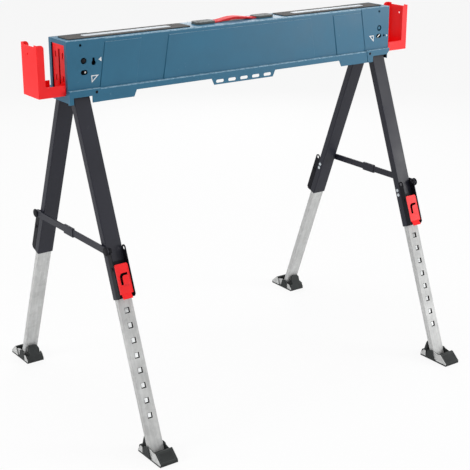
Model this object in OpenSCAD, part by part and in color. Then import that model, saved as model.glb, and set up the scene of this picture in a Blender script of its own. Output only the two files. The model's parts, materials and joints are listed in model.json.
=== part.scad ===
// Folding builders trestle with telescopic splayed legs and timber supports at both ends.
// X runs along the beam, Y from the front to the back, and Z up from the floor under the beam's centre.

/* [Beam] */
// Length of the beam over its end plates
beam_len = 920; // [900:1:960]
// Width of the beam above the ledge
beam_w = 77.6; // [76:0.2:84]
// Height of the beam's top over the floor with the legs drawn out
work_h = 868; // [840:1:900]
// Height from the ledge to the beam's top
beam_h = 107; // [100:1:112]
// Outward step of the ledge on each side
ledge_step = 6.8; // [6.5:0.1:9]
// Height of the plain skirt under the ledge
skirt_h = 14; // [12:0.5:16]
// Extra drop of the skirt's tabs
tab_h = 15; // [8:0.5:15]
// Thickness of the beam's steel sheet
sheet = 1.2; // [1:0.1:1.5]
// Thickness of the raised panels on the beam's sides
panel_rise = 1.4; // [0.6:0.1:1.6]
// Lean of the seams and panel edges from upright
seam_lean = 9.4; // [4:0.2:12]
// Length of the end sleeves at the top
sleeve_len = 94; // [86:1:110]
// Length of the outer panels at the top
side_panel_len = 92; // [60:1:110]
// Plain strip between the outer panels and the middle panel
panel_space = 71; // [50:1:90]
// Plain strip between the beam's top and the panels
panel_drop = 9; // [6:0.5:14]
// Half length of the slotted middle tab
tab_mid = 85; // [80:1:95]
// Length of the tabs beside the legs
tab_len = 104.5; // [80:0.5:120]
// Run of the sloping ends of the tabs
tab_slope = 7; // [3:0.5:10]
// Count of slots in the middle tab
slot_count = 5; // [3:1:6]
// Spacing of the slots in the middle tab
slot_pitch = 34.4; // [30:0.2:36]
// Length of a slot in the middle tab
slot_len = 22; // [16:0.5:24]
// Height of a slot in the middle tab
slot_h = 7.5; // [5:0.5:8]

/* [Beam ends] */
// Width of the mouth in the end plate
mouth_w = 59; // [56:0.5:62]
// Border of the end plate over the mouth
mouth_top = 9.5; // [8:0.5:12]
// Height of the mouth
mouth_h = 108; // [105:0.5:112]
// Gap from the skirt's lowest edge up to the end web
web_lift = 3; // [1:0.5:5]
// Length of the wide slots in the end sleeves
port_len = 17; // [12:0.5:20]
// Width of the slots in the end sleeves
port_w = 10.5; // [8:0.5:12]
// Diameter of the large round holes in the end sleeves
port_d = 14; // [10:0.5:16]
// Diameter of the small round holes in the end sleeves
pilot_d = 6; // [4:0.5:8]

/* [Top] */
// Inner end of the top pads from the middle
pad_in = 134; // [130:1:150]
// Bare length of the top outside the pads
pad_end = 13; // [10:1:30]
// Width of the top pads
pad_w = 52; // [46:1:60]
// Thickness of the top pads
pad_t = 2; // [1.5:0.1:3]
// Length of pad inside the wear strip
strip_inset = 43; // [20:1:60]
// Length of pad outside the wear strip
strip_outset = 47; // [20:1:60]
// Width of the wear strips
strip_w = 20; // [14:0.5:26]
// Rise of the wear strips over the pads
strip_rise = 0.4; // [0.2:0.1:1]
// Inner end of the handle clips from the middle
clip_in = 58; // [54:1:62]
// Outer end of the handle clips from the middle
clip_out = 110; // [100:1:118]
// Width of the handle clips
clip_w = 32; // [28:1:36]
// Height of the handle clips
clip_h = 5.6; // [5.2:0.1:7]
// Width of the strap handle
strap_w = 24; // [18:1:26]
// Thickness of the strap handle
strap_t = 3.4; // [2.6:0.1:3.6]
// Rise of the strap's arch over the beam's top
strap_rise = 9.4; // [9:0.2:14]
// Diameter of the handle screw heads
screw_d = 9; // [6:0.5:10]

/* [Timber supports] */
// Clear depth of the timber pocket along the beam, behind the lips
pocket_gap = 62; // [55:0.5:70]
// Width of the support
support_w = 72; // [66:1:74]
// Height of the support
support_h = 113; // [106:1:116]
// Drop of the support's floor under the beam's ledge
support_drop = 9; // [7:0.5:10]
// Thickness of the support's steel sheet
support_t = 2; // [1.5:0.1:2.5]
// Width of the upright lips
lip_w = 17; // [16:0.5:20]
// Radius of the upright lips' top corner
lip_r = 8; // [5:0.5:8]
// Height of the floor lips
lip_h = 23; // [16:0.5:26]
// Gap between the support and the beam's end
support_gap = 5; // [4:0.5:8]
// Length of the sliding arms inside the beam
arm_len = 108; // [96:1:120]
// Recess of the support's inner plate in the mouth
inner_recess = 3; // [2:0.5:4]

/* [Legs] */
// Distance of the legs' centre line from the beam's end
leg_in = 32.5; // [31:0.5:35]
// Splay of each leg from upright
splay = 20.9; // [19:0.1:21]
// Depth of the leg hinge under the beam's top
hinge_drop = 116; // [114:0.5:118]
// Distance of the leg hinge from the beam's middle plane
hinge_y = 26.8; // [26:0.1:27]
// Width of the upper tube
tube_w = 40; // [38:0.5:40]
// Thickness of the upper tube
tube_t = 18; // [17:0.2:18]
// Wall of the upper and lower tubes
tube_wall = 1.5; // [1.2:0.1:1.8]
// Length of the upper tube below its hinge
upper_len = 453; // [430:1:470]
// Length of the lower tube that stays inside the upper tube
overlap_len = 118; // [90:1:140]
// Corner radius of the tubes
tube_r = 2.2; // [1:0.1:2.4]
// Sliding clearance on each side between the tubes
slide_gap = 0.6; // [0.4:0.05:0.8]
// Spacing of the height holes
hole_pitch = 33.4; // [30:0.2:38]
// Width of a height hole
hole_w = 11.5; // [9:0.5:12]
// Height of a height hole
hole_h = 12.5; // [9:0.5:14]
// Diameter of the leg hinge pins
hinge_pin_d = 12; // [10:0.5:14]

/* [Leg locks] */
// Height of the lock bracket's sides over the tube's face
lock_h = 15; // [14:0.5:16]
// Thickness of the lock bracket
lock_sheet = 2; // [1.5:0.1:2.5]
// Height of the brace ears over the tube's lower end
ear_up = 107; // [100:1:112]
// Height of the lever's pivot over the tube's lower end
lever_pivot_up = 66; // [62:0.5:70]
// Height of the locking tooth over the tube's lower end
tooth_up = 39.6; // [36:0.2:42]
// Width of the lever
lever_w = 33; // [28:0.5:33]
// Thickness of the lever
lever_t = 2; // [1.5:0.1:2.2]
// Height of the lever's lower edge over the tube's lower end
lever_low = 9; // [6:0.5:12]
// Diameter of the lever's pivot pin
lever_pin_d = 5; // [4:0.5:5]

/* [Braces] */
// Height of the brace straps
brace_h = 16; // [12:0.5:18]
// Thickness of the brace straps
brace_t = 4; // [3:0.1:5]
// Gap between the braces and the legs' sides
brace_gap = 1.7; // [1.6:0.1:2.4]
// Diameter of the brace bolts
bolt_d = 8; // [6:0.5:8]
// Length of the collar over the brace's joint
collar_len = 42; // [30:1:50]
// Wall of the collar
collar_wall = 1.3; // [1:0.1:1.5]

/* [Feet] */
// Height of the foot pivot over the floor
foot_pivot_h = 16; // [15:0.5:18]
// Width of the shoe
shoe_w = 46; // [46:0.5:50]
// Reach of the shoe outside the pivot
toe_out = 55; // [50:0.5:60]
// Reach of the shoe inside the pivot
heel_in = 36; // [35:0.5:38]
// Length of the heel block
heel_len = 14; // [12:0.5:14]
// Height of the heel block over the pivot
heel_up = 27; // [20:0.5:27]
// Thickness of the sole
sole_t = 4; // [3:0.25:4.5]
// Length of the toe block
toe_len = 26; // [20:0.5:28]
// Thickness of the foot plate
foot_sheet = 1.6; // [1.2:0.1:1.8]
// Diameter of the foot pin
foot_pin_d = 8; // [6:0.5:9]

/* [Hidden] */
$fn = 48;

// Ends and sides of the trestle as mirror signs
left = -1;
right = 1;
front = -1;
back = 1;

// Overrun of every cut, and the running and seating clearances
over = 1;
run_gap = 0.05;
seat_gap = 0.3;

// Heights and half widths of the beam
z_top = work_h;
z_ledge = z_top - beam_h;
z_plain = z_ledge - skirt_h;
z_tab = z_plain - tab_h;
half_w = beam_w / 2;
half_skirt = half_w + ledge_step;
end_x = beam_len / 2;
shell_len = beam_len - 2 * sheet;
mouth_z = z_top - mouth_top - mouth_h;
lean = tan(seam_lean);
panel_z = z_top - panel_drop;
panel_sink = sheet / 2;

// Distances of the seams, panels, pads and strips from the middle of the beam
seam_x = end_x - sleeve_len;
panel_side = seam_x - side_panel_len;
panel_mid = panel_side - panel_space;
pad_out = end_x - pad_end;
strip_in = pad_in + strip_inset;
strip_out = pad_out - strip_outset;

// The gap in the skirt where each leg comes out, and the tab beside it
leg_x = end_x - leg_in;
leg_gap = 3;
notch_cut = 8;
notch_rise = 10;
leg_gap_in = leg_x - tube_w / 2 - leg_gap;
leg_gap_out = leg_x + tube_w / 2 + leg_gap;
tab_in = leg_gap_in - tab_len;

// Places of the slots and holes in the end sleeves: distance from the end, then drop from the top
port_a_in = 40.6;
port_a_drop = 45;
port_b_in = 64.6;
port_b_drop = 48;
port_c_in = 41;
port_c_drop = 70;
port_d_in = 32;
port_d_drop = 53;
port_e_in = 33;
port_e_drop = 73;
pilot_in = 34;
pilot_drop = 11;
pilot_low_in = 15.5;
key_w = 6;
skirt_rivet_in = 66;
skirt_rivet_d = 7;
rivet_rise = 1.4;
screw_rise = 1.6;
strip_r = 5;
pad_r = 6;
clip_r = 8;

// Supports
support_z = z_ledge - support_drop;
support_out = end_x + support_gap + pocket_gap;
mouth_gap = 1;
inner_w = mouth_w - 2 * mouth_gap;
inner_top = z_top - mouth_top - mouth_gap;
scoop_depth = 4;
scoop_w_share = 0.66;
slit_w = 4.5;
slit_h = 13;
slit_y_share = 0.28;
slit_z_shares = [0.3, 0.78];
groove_w = 6;
groove_h_share = 0.72;
groove_z_share = 0.54;
plate_hole_d = 5;
plate_hole_z_share = 0.8;
plate_hole_y_share = 0.1;

// Hinges
hinge_z = z_top - hinge_drop;
hinge_plate = 3;
hinge_len = tube_w + 2 * leg_gap;
hinge_deck_up = 27;
hinge_deck_z = hinge_z + hinge_deck_up;
hinge_arm_low = 16;
hinge_head_d = 18;
hinge_head_t = 2.4;
hinge_lip_h = 9;
lug_y = 12;
lug_drop = 9;

// Legs, measured down the leg from its hinge
lower_w = tube_w - 2 * tube_wall - 2 * slide_gap;
lower_t = tube_t - 2 * tube_wall - 2 * slide_gap;
face_y = tube_t / 2;
pivot_down = (hinge_z - foot_pivot_h) / cos(splay);
foot_y = hinge_y + (hinge_z - foot_pivot_h) * tan(splay);
stub_len = 7;
lower_low = -pivot_down - stub_len;
lower_top = -upper_len + overlap_len;
tooth_z = -upper_len + tooth_up;
hole_clear = 70;
hole_count = floor((tooth_z + pivot_down - hole_clear) / hole_pitch);
corner_steps = 4;

// Leg locks: heights over the tube's lower end and distances out from the tube's face
ear_out = lock_h / 2;
web_up = 82;
lever_over = 9;
lever_sink = 1.5;
lever_pin_in = 4.2;
lever_top = lever_pivot_up + lever_over;
lever_out = lock_h - lever_sink;
lever_back = lever_out - lever_t;
lever_pivot_out = lever_back - lever_pin_in;
lever_ear_r = 4.6;
lever_ear_t = 2;
tooth_w = 8;
tooth_h = 8;
tooth_gap = 0.2;
window_w = 14;
window_up = 6;
window_down = 9;
lever_slot_w = 5;
lever_slot_top = 54.5;
lever_slot_low = 29;
lever_slot_left = 8.5;
lever_slot_right = 11;
lever_corner = 3;
thumb_rise = 1.4;
lip_left = 13;
lip_right = 10.5;
lip_drop = 11;
lip_reach = 5;
lock_chamfer = 5;
pin_head_d = 8;
pin_head_t = 1.4;
spring_wire = 1;
spring_gap = 0.2;
spring_len_share = 0.7;

// Braces
ear_z = -upper_len + ear_up;
ear_n = face_y + ear_out;
brace_y = hinge_y - ear_z * sin(splay) + ear_n * cos(splay);
brace_z = hinge_z + ear_z * cos(splay) + ear_n * sin(splay);
brace_x = leg_x + tube_w / 2 + brace_gap;
bolt_head_d = 16;
bolt_head_t = 3;
nut_d = 13;
nut_t = 4;
collar_h = brace_h + 4 * collar_wall;
collar_shift = 4;
collar_end = collar_len / 2 - collar_shift;
joint_gap = 1.6;
bar_tuck = 1;

// Feet, measured from the pivot: outward, then up
sole_top = sole_t - foot_pivot_h;
shoe_wall = 1.4;
shoe_cheek_up = 10;
shoe_cheek_out = 12;
shoe_cheek_in = 17;
shoe_cheek_top = 7;
toe_back = toe_out - toe_len;
toe_up = 9;
toe_flat = 5;
toe_low = 3;
toe_sheet = 1.2;
toe_side = 8;
toe_w = shoe_w - 2 * (toe_sheet + seat_gap);
rim_h = 2.5;
cheek_gap = 0.4;
cheek_in = lower_w / 2 + cheek_gap;
cheek_r = 9;
cheek_tip_up = 5;
plate_gap = 1;
heel_back = heel_in - heel_len;
cheek_back = heel_back - 2 * plate_gap;
heel_t = 3;
heel_r = 9;
heel_trim = 4.5;
heel_w = lower_w - 2 * heel_trim;
heel_low = 2;
heel_plate_up = 3;
heel_plate_in = shoe_cheek_in + plate_gap;
heel_plate_top = heel_back + heel_t;
foot_head_d = 12;
foot_head_t = 1.3;

// A rounded rectangle's points, centred
function rounded(w, d, r) = [
    for (corner = [[1, 1, 0], [-1, 1, 90], [-1, -1, 180], [1, -1, 270]])
        for (step = [0 : corner_steps])
            [corner[0] * (w / 2 - r) + r * cos(corner[2] + step * 90 / corner_steps),
             corner[1] * (d / 2 - r) + r * sin(corner[2] + step * 90 / corner_steps)]
];

// Half of the beam's cross-section grown outward by g, from the top down to the skirt's lowest edge
function beam_side(g) = [
    [half_w + g, z_top],
    [half_w + g, z_ledge + g],
    [half_skirt + g, z_ledge + g],
    [half_skirt + g, z_tab]
];

// The same points on the other side, in reverse
function flip(points) = [for (i = [len(points) - 1 : -1 : 0]) [-points[i][0], points[i][1]]];

// Extrudes a Y-Z outline along X, centred
module along_x(length) {
    rotate([90, 0, 90])
        linear_extrude(height = length, center = true)
            children();
}

// Extrudes an outline drawn outward and up along X, centred, with outward towards the front
module outward_x(length) {
    rotate([90, 0, -90])
        linear_extrude(height = length, center = true)
            children();
}

// Extrudes an X-Z outline across the beam, centred
module across_y(width) {
    rotate([90, 0, 0])
        linear_extrude(height = width, center = true)
            children();
}

// Turns pieces made for the front left leg to any leg
module at_leg(end, side) {
    mirror([end == right ? 1 : 0, 0, 0])
        mirror([0, side == back ? 1 : 0, 0])
            children();
}

// The front left leg's own frame: origin on its hinge, -Z down the leg, -Y out of its face
module down_leg() {
    translate([-leg_x, -hinge_y, hinge_z])
        rotate([-splay, 0, 0])
            children();
}

// A slot with round ends, along X
module slot_shape(length, width) {
    square([length - width, width], center = true);
    for (s = [-1, 1])
        translate([s * (length - width) / 2, 0])
            circle(d = width);
}

// The openings along the lower edge of both skirts, between the tabs
module skirt_openings() {
    depth = 2 * (half_skirt + sheet + over);
    for (s = [left, right])
        across_y(depth) {
            polygon([
                [s * leg_gap_in, z_tab - over],
                [s * leg_gap_in, z_plain],
                [s * leg_gap_out, z_plain],
                [s * leg_gap_out, z_tab - over]
            ]);
            polygon([
                [s * tab_mid, z_tab - over],
                [s * tab_mid, z_tab],
                [s * (tab_mid + tab_slope), z_plain],
                [s * (tab_in - tab_slope), z_plain],
                [s * tab_in, z_tab],
                [s * tab_in, z_tab - over]
            ]);
        }
}

// The notch at the left end's back corner, where the hinge bracket's lug shows, and the cut corner over it
module corner_notch() {
    translate([0, half_skirt + (sheet + over - ledge_step) / 2, 0])
        across_y(ledge_step + sheet + over)
            polygon([
                [-end_x - over, z_tab - over],
                [-leg_gap_out + over, z_tab - over],
                [-leg_gap_out + over, z_plain],
                [-end_x + notch_cut, z_plain],
                [-end_x, z_plain + notch_rise],
                [-end_x - over, z_plain + notch_rise]
            ]);
}

// The row of slots in the middle tab
module tab_slots() {
    across_y(2 * (half_skirt + over))
        for (i = [0 : slot_count - 1])
            translate([(i - (slot_count - 1) / 2) * slot_pitch, (z_tab + z_plain) / 2])
                slot_shape(slot_len, slot_h);
}

// The slots and holes of the left end, front pattern towards the front and back pattern towards the back
module end_ports() {
    reach = ledge_step + half_w;
    for (port = [[port_c_in, port_c_drop, -reach], [port_e_in, port_e_drop, half_w - 2 * sheet]])
        translate([port[0] - end_x, port[2], z_top - port[1]])
            rotate([-90, 0, 0])
                linear_extrude(height = ledge_step + 2 * sheet)
                    slot_shape(port_len, port_w);
    translate([port_b_in - end_x, -reach, z_top - port_b_drop])
        rotate([-90, 0, 0])
            linear_extrude(height = ledge_step + 2 * sheet) {
                translate([0, (port_len - port_w) / 2])
                    circle(d = port_w);
                rotate(90)
                    slot_shape(port_len, key_w);
            }
    for (hole = [[port_a_in, -half_w, port_a_drop, port_d], [port_d_in, half_w, port_d_drop, port_d],
                 [pilot_low_in, half_w, port_e_drop, pilot_d],
                 [pilot_in, half_w, pilot_drop, pilot_d], [pilot_in, -half_w, pilot_drop, pilot_d]])
        translate([hole[0] - end_x, hole[1], z_top - hole[2]])
            rotate([90, 0, 0])
                cylinder(d = hole[3], h = ledge_step, center = true);
}

// One raised panel on the front and its twin on the back, from x0 to x1 at the top, leaning out at the foot
module raised_panels(x0, x1, lean0, lean1) {
    fall = panel_z - z_ledge;
    for (s = [front, back])
        translate([0, s * (half_w - panel_sink / 2 + panel_rise / 2), 0])
            across_y(panel_rise + panel_sink)
                polygon([
                    [x0, panel_z],
                    [x1, panel_z],
                    [x1 + lean1 * fall, z_ledge],
                    [x0 + lean0 * fall, z_ledge]
                ]);
}

module beam_shell() {
    color("steelblue")
        difference() {
            union() {
                along_x(shell_len)
                    difference() {
                        polygon(concat(beam_side(0), flip(beam_side(0))));
                        polygon(concat(
                            [[half_w - sheet, z_top - sheet],
                             [half_w - sheet, z_ledge - sheet],
                             [half_skirt - sheet, z_ledge - sheet],
                             [half_skirt - sheet, z_tab - over]],
                            flip([[half_w - sheet, z_top - sheet],
                                  [half_w - sheet, z_ledge - sheet],
                                  [half_skirt - sheet, z_ledge - sheet],
                                  [half_skirt - sheet, z_tab - over]])
                        ));
                    }
                raised_panels(-panel_mid, panel_mid, -lean, lean);
                for (s = [left, right])
                    raised_panels(s * panel_side, s * (seam_x - seat_gap), s * lean, s * lean);
            }
            skirt_openings();
            tab_slots();
            for (turn = [0, 180])
                rotate([0, 0, turn]) {
                    end_ports();
                    corner_notch();
                }
        }
}

// The left end sleeve: a plate over the beam's end with the mouth, and walls over its sides
module end_sleeve() {
    fall = z_top - z_tab;
    difference() {
        intersection() {
            along_x(beam_len)
                polygon(concat(beam_side(sheet), flip(beam_side(sheet))));
            across_y(2 * (half_skirt + sheet + over))
                polygon([
                    [-end_x, z_top],
                    [-seam_x, z_top],
                    [-seam_x - lean * fall, z_tab],
                    [-end_x, z_tab]
                ]);
        }
        translate([sheet, 0, 0])
            along_x(beam_len)
                polygon(concat(
                    [[half_w, z_top + over],
                     [half_w, z_ledge],
                     [half_skirt, z_ledge],
                     [half_skirt, z_tab - over]],
                    flip([[half_w, z_top + over],
                          [half_w, z_ledge],
                          [half_skirt, z_ledge],
                          [half_skirt, z_tab - over]])
                ));
        translate([-end_x, 0, mouth_z + mouth_h / 2])
            cube([2 * (sheet + over), mouth_w, mouth_h], center = true);
        translate([-end_x, 0, z_tab])
            cube([2 * (sheet + over), 2 * (half_skirt - ledge_step), 2 * web_lift], center = true);
        skirt_openings();
        end_ports();
        corner_notch();
    }
}

module left_end_sleeve() {
    color("steelblue")
        end_sleeve();
}

module right_end_sleeve() {
    color("steelblue")
        rotate([0, 0, 180])
            end_sleeve();
}

// The left hinge bracket: a deck between the beam's walls, a slanting arm inside each leg and a corner lug
module hinge_bracket() {
    deck_w = 2 * (half_w - sheet);
    wall_fit = sheet + seat_gap;
    arm_in = face_y + seat_gap;
    arm_top = (hinge_deck_up + hinge_plate / 2 + (arm_in + hinge_plate / 2) * sin(splay)) / cos(splay);
    translate([-leg_x - hinge_len / 2 - hinge_plate / 2, 0, 0])
        along_x(hinge_plate) {
            translate([lug_y, z_plain - lug_drop])
                square([half_skirt - wall_fit - lug_y, z_ledge - wall_fit - z_plain + lug_drop]);
            translate([lug_y, z_plain])
                square([deck_w / 2 - lug_y, hinge_deck_z + hinge_plate - z_plain]);
        }
    difference() {
        translate([-leg_x, 0, 0])
            along_x(hinge_len) {
                translate([-deck_w / 2, hinge_deck_z])
                    square([deck_w, hinge_plate]);
                for (s = [0, 1])
                    mirror([s, 0]) {
                        translate([-deck_w / 2, hinge_deck_z - hinge_lip_h])
                            square([hinge_plate / 2, hinge_lip_h + hinge_plate / 2]);
                        translate([-hinge_y, hinge_z])
                            rotate(-splay)
                                translate([arm_in, -hinge_arm_low])
                                    square([hinge_plate, hinge_arm_low + arm_top]);
                    }
            }
        for (side = [front, back])
            at_leg(left, side)
                down_leg()
                    rotate([90, 0, 0])
                        cylinder(d = hinge_pin_d + 2 * run_gap, h = tube_w, center = true);
    }
}

module left_hinge_bracket() {
    color("dimgray")
        hinge_bracket();
}

module right_hinge_bracket() {
    color("dimgray")
        rotate([0, 0, 180])
            hinge_bracket();
}

// The four leg hinge pins, each with a head outside the tube and one inside the bracket's arm
module hinge_pins() {
    stack = tube_t + 2 * seat_gap + hinge_plate + seat_gap;
    color("silver")
        for (end = [left, right], side = [front, back])
            at_leg(end, side)
                down_leg()
                    translate([0, -face_y - seat_gap, 0])
                        rotate([-90, 0, 0]) {
                            cylinder(d = hinge_pin_d, h = stack);
                            translate([0, 0, -hinge_head_t])
                                cylinder(d = hinge_head_d, h = hinge_head_t);
                            translate([0, 0, stack])
                                cylinder(d = hinge_head_d, h = hinge_head_t);
                        }
}

// The left top pad with its long slot for the wear strip
module top_pad() {
    difference() {
        translate([-(pad_in + pad_out) / 2, 0, z_top])
            linear_extrude(height = pad_t)
                polygon(rounded(pad_out - pad_in, pad_w, pad_r));
        translate([-(strip_in + strip_out) / 2, 0, z_top - over])
            linear_extrude(height = pad_t + 2 * over)
                polygon(rounded(strip_out - strip_in, strip_w, strip_r));
    }
}

module left_top_pad() {
    color("dimgray")
        top_pad();
}

module right_top_pad() {
    color("dimgray")
        mirror([1, 0, 0])
            top_pad();
}

// The left wear strip, in the pad's slot
module wear_strip() {
    translate([-(strip_in + strip_out) / 2, 0, z_top])
        linear_extrude(height = pad_t + strip_rise)
            polygon(rounded(strip_out - strip_in, strip_w, strip_r));
}

module left_wear_strip() {
    color("gainsboro")
        wear_strip();
}

module right_wear_strip() {
    color("gainsboro")
        mirror([1, 0, 0])
            wear_strip();
}

// The strap's height over the beam at a distance from the middle
function strap_z(x) = (strap_rise - strap_t) * (1 + cos(180 * min(1, abs(x) / clip_in))) / 2;

// The arched carrying strap, with its flat ends under the clips
module carry_strap() {
    tail = clip_in + (clip_out - clip_in) / 2;
    steps = 24;
    xs = concat([-tail], [for (i = [0 : steps]) clip_in * (2 * i / steps - 1)], [tail]);
    color("red")
        translate([0, 0, z_top])
            across_y(strap_w)
                polygon(concat(
                    [for (x = xs) [x, strap_z(x)]],
                    [for (i = [len(xs) - 1 : -1 : 0]) [xs[i], strap_z(xs[i]) + strap_t]]
                ));
}

// The left strap clip, a moulded cover over the strap's flat end
module strap_clip() {
    mid = -(clip_in + clip_out) / 2;
    difference() {
        translate([mid, 0, z_top])
            linear_extrude(height = clip_h)
                polygon(rounded(clip_out - clip_in, clip_w, clip_r));
        translate([mid, -strap_w / 2 - seat_gap, z_top - over])
            cube([clip_out - clip_in, strap_w + 2 * seat_gap, strap_t + seat_gap + over]);
        translate([mid - (clip_out - clip_in) / 4, 0, z_top + clip_h - screw_rise])
            cylinder(d = screw_d, h = clip_h);
    }
}

module left_strap_clip() {
    color("gray")
        strap_clip();
}

module right_strap_clip() {
    color("gray")
        mirror([1, 0, 0])
            strap_clip();
}

// The skirt rivets and the screws of the strap clips
module beam_fasteners() {
    rivet_z = (z_ledge + z_plain) / 2;
    screw_x = (clip_in + clip_out) / 2 + (clip_out - clip_in) / 4;
    color("silver") {
        for (s = [left, right], t = [front, back])
            translate([s * (end_x - skirt_rivet_in), t * (half_skirt + sheet), rivet_z])
                rotate([-90 * t, 0, 0])
                    cylinder(d1 = skirt_rivet_d, d2 = skirt_rivet_d / 2, h = rivet_rise);
        for (s = [left, right])
            translate([s * screw_x, 0, z_top + clip_h - screw_rise])
                cylinder(d = screw_d, h = screw_rise);
    }
}

// The outline of a side lip: an upright with a rounded top corner and a low strip along the floor
module lip_shape() {
    translate([-support_out, support_z])
        square([lip_w, support_h - lip_r]);
    translate([-support_out, support_z])
        square([lip_w - lip_r, support_h]);
    translate([-support_out + lip_w - lip_r, support_z + support_h - lip_r])
        circle(r = lip_r);
    translate([-support_out, support_z])
        square([pocket_gap, lip_h]);
}

// The left timber support: outer plate, lips, floor and the inner plate in the mouth
module timber_support() {
    inner_x = -end_x + inner_recess;
    inner_h = inner_top - support_z;
    difference() {
        union() {
            translate([-support_out, -support_w / 2, support_z])
                cube([support_t, support_w, support_h]);
            for (s = [front, back])
                translate([0, s * (support_w - support_t) / 2, 0])
                    across_y(support_t)
                        lip_shape();
            translate([-support_out, -support_w / 2, support_z])
                cube([pocket_gap, support_w, support_t]);
            translate([-support_out, -inner_w / 2, support_z])
                cube([inner_x + support_out + support_t, inner_w, support_t]);
            translate([inner_x, -inner_w / 2, support_z])
                cube([support_t, inner_w, inner_h]);
        }
        translate([-support_out, 0, support_z + support_h])
            cube([2 * (support_t + over), support_w * scoop_w_share, 2 * scoop_depth], center = true);
        translate([-support_out, support_w * plate_hole_y_share, support_z + support_h * plate_hole_z_share])
            rotate([0, 90, 0])
                cylinder(d = plate_hole_d, h = 2 * (support_t + over), center = true);
        for (s = [front, back], share = slit_z_shares)
            translate([inner_x, s * inner_w * slit_y_share, support_z + inner_h * share])
                cube([2 * (support_t + over), slit_w, slit_h], center = true);
        translate([inner_x, 0, support_z + inner_h * groove_z_share])
            cube([2 * (support_t + over), groove_w, inner_h * groove_h_share], center = true);
    }
}

// The left support's two arms, welded behind its inner plate and sliding on the hinge bracket's deck
module support_arms() {
    arm_x = -end_x + inner_recess + support_t;
    arm_z = hinge_deck_z + hinge_plate + run_gap;
    for (s = [front, back])
        translate([arm_x, s * (inner_w - support_t) / 2 - support_t / 2, arm_z])
            cube([arm_len, support_t, inner_top - arm_z]);
}

module left_timber_support() {
    color("crimson")
        timber_support();
}

module right_timber_support() {
    color("crimson")
        rotate([0, 0, 180])
            timber_support();
}

module left_support_arms() {
    color("dimgray")
        support_arms();
}

module right_support_arms() {
    color("dimgray")
        rotate([0, 0, 180])
            support_arms();
}

// An upper tube with a round head on its hinge, and a window for the locking tooth
module upper_tube(end, side) {
    color("darkslategray")
        at_leg(end, side)
            down_leg()
                difference() {
                    union() {
                        translate([0, 0, -upper_len])
                            linear_extrude(height = upper_len)
                                polygon(rounded(tube_w, tube_t, tube_r));
                        rotate([90, 0, 0])
                            cylinder(d = tube_w, h = tube_t, center = true);
                    }
                    translate([-tube_w / 2 + tube_wall, -face_y + tube_wall, -upper_len - over])
                        cube([tube_w - 2 * tube_wall, tube_t - 2 * tube_wall, upper_len + over]);
                    rotate([90, 0, 0])
                        cylinder(d = hinge_pin_d + 2 * run_gap, h = tube_w, center = true);
                    translate([-window_w / 2, -face_y - over, tooth_z - window_down])
                        cube([window_w, tube_wall + 2 * over, window_down + window_up]);
                }
}

// The outline of a lock bracket's side: outward from the tube's face, then up from the tube's end
module lock_side() {
    difference() {
        union() {
            polygon([
                [0, 0],
                [lock_h - lock_chamfer, 0],
                [lock_h, lock_chamfer],
                [lock_h, ear_up],
                [0, ear_up]
            ]);
            translate([ear_out, ear_up])
                circle(d = lock_h);
        }
        translate([ear_out, ear_up])
            circle(d = bolt_d + 2 * run_gap);
        translate([lever_pivot_out, lever_pivot_up])
            circle(d = lever_pin_d + 2 * run_gap);
    }
}

module lock_bracket(end, side) {
    color("black")
        at_leg(end, side)
            down_leg()
                translate([0, -face_y, -upper_len]) {
                    for (s = [left, right])
                        translate([s * (tube_w - lock_sheet) / 2, 0, 0])
                            outward_x(lock_sheet)
                                lock_side();
                    difference() {
                        translate([-tube_w / 2 + lock_sheet / 2, -lock_sheet, 0])
                            cube([tube_w - lock_sheet, lock_sheet, web_up]);
                        translate([-window_w / 2, -lock_sheet - over, tooth_up - window_down])
                            cube([window_w, lock_sheet + 2 * over, window_down + window_up]);
                    }
                }
}

// The lever's face seen from outside, up from the tube's end
module lever_face() {
    difference() {
        polygon([
            [-lever_w / 2, lever_low],
            [lever_w / 2, lever_low],
            [lever_w / 2, lever_top - lever_corner],
            [lever_w / 2 - lever_corner, lever_top],
            [-lever_w / 2 + lever_corner, lever_top],
            [-lever_w / 2, lever_top - lever_corner]
        ]);
        difference() {
            thumb_shape(0);
            thumb_shape(lever_slot_w);
        }
    }
}

// The thumb pad's outline, smaller by g on its top and left sides
module thumb_shape(g) {
    thumb_r = lever_slot_left - g / 2;
    translate([g - lever_slot_left + thumb_r, lever_slot_low])
        square([lever_slot_right + lever_slot_left - g - thumb_r, lever_slot_top - g - lever_slot_low]);
    translate([g - lever_slot_left, lever_slot_low])
        square([thumb_r, lever_slot_top - g - thumb_r - lever_slot_low]);
    translate([g - lever_slot_left + thumb_r, lever_slot_top - g - thumb_r])
        circle(r = thumb_r);
}

// The lever's own frame on the tube's lower end, with the same hand on all four legs
module same_hand(end, side) {
    translate([0, -face_y, -upper_len])
        mirror([(end == right) == (side == back) ? 0 : 1, 0, 0])
            children();
}

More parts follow.
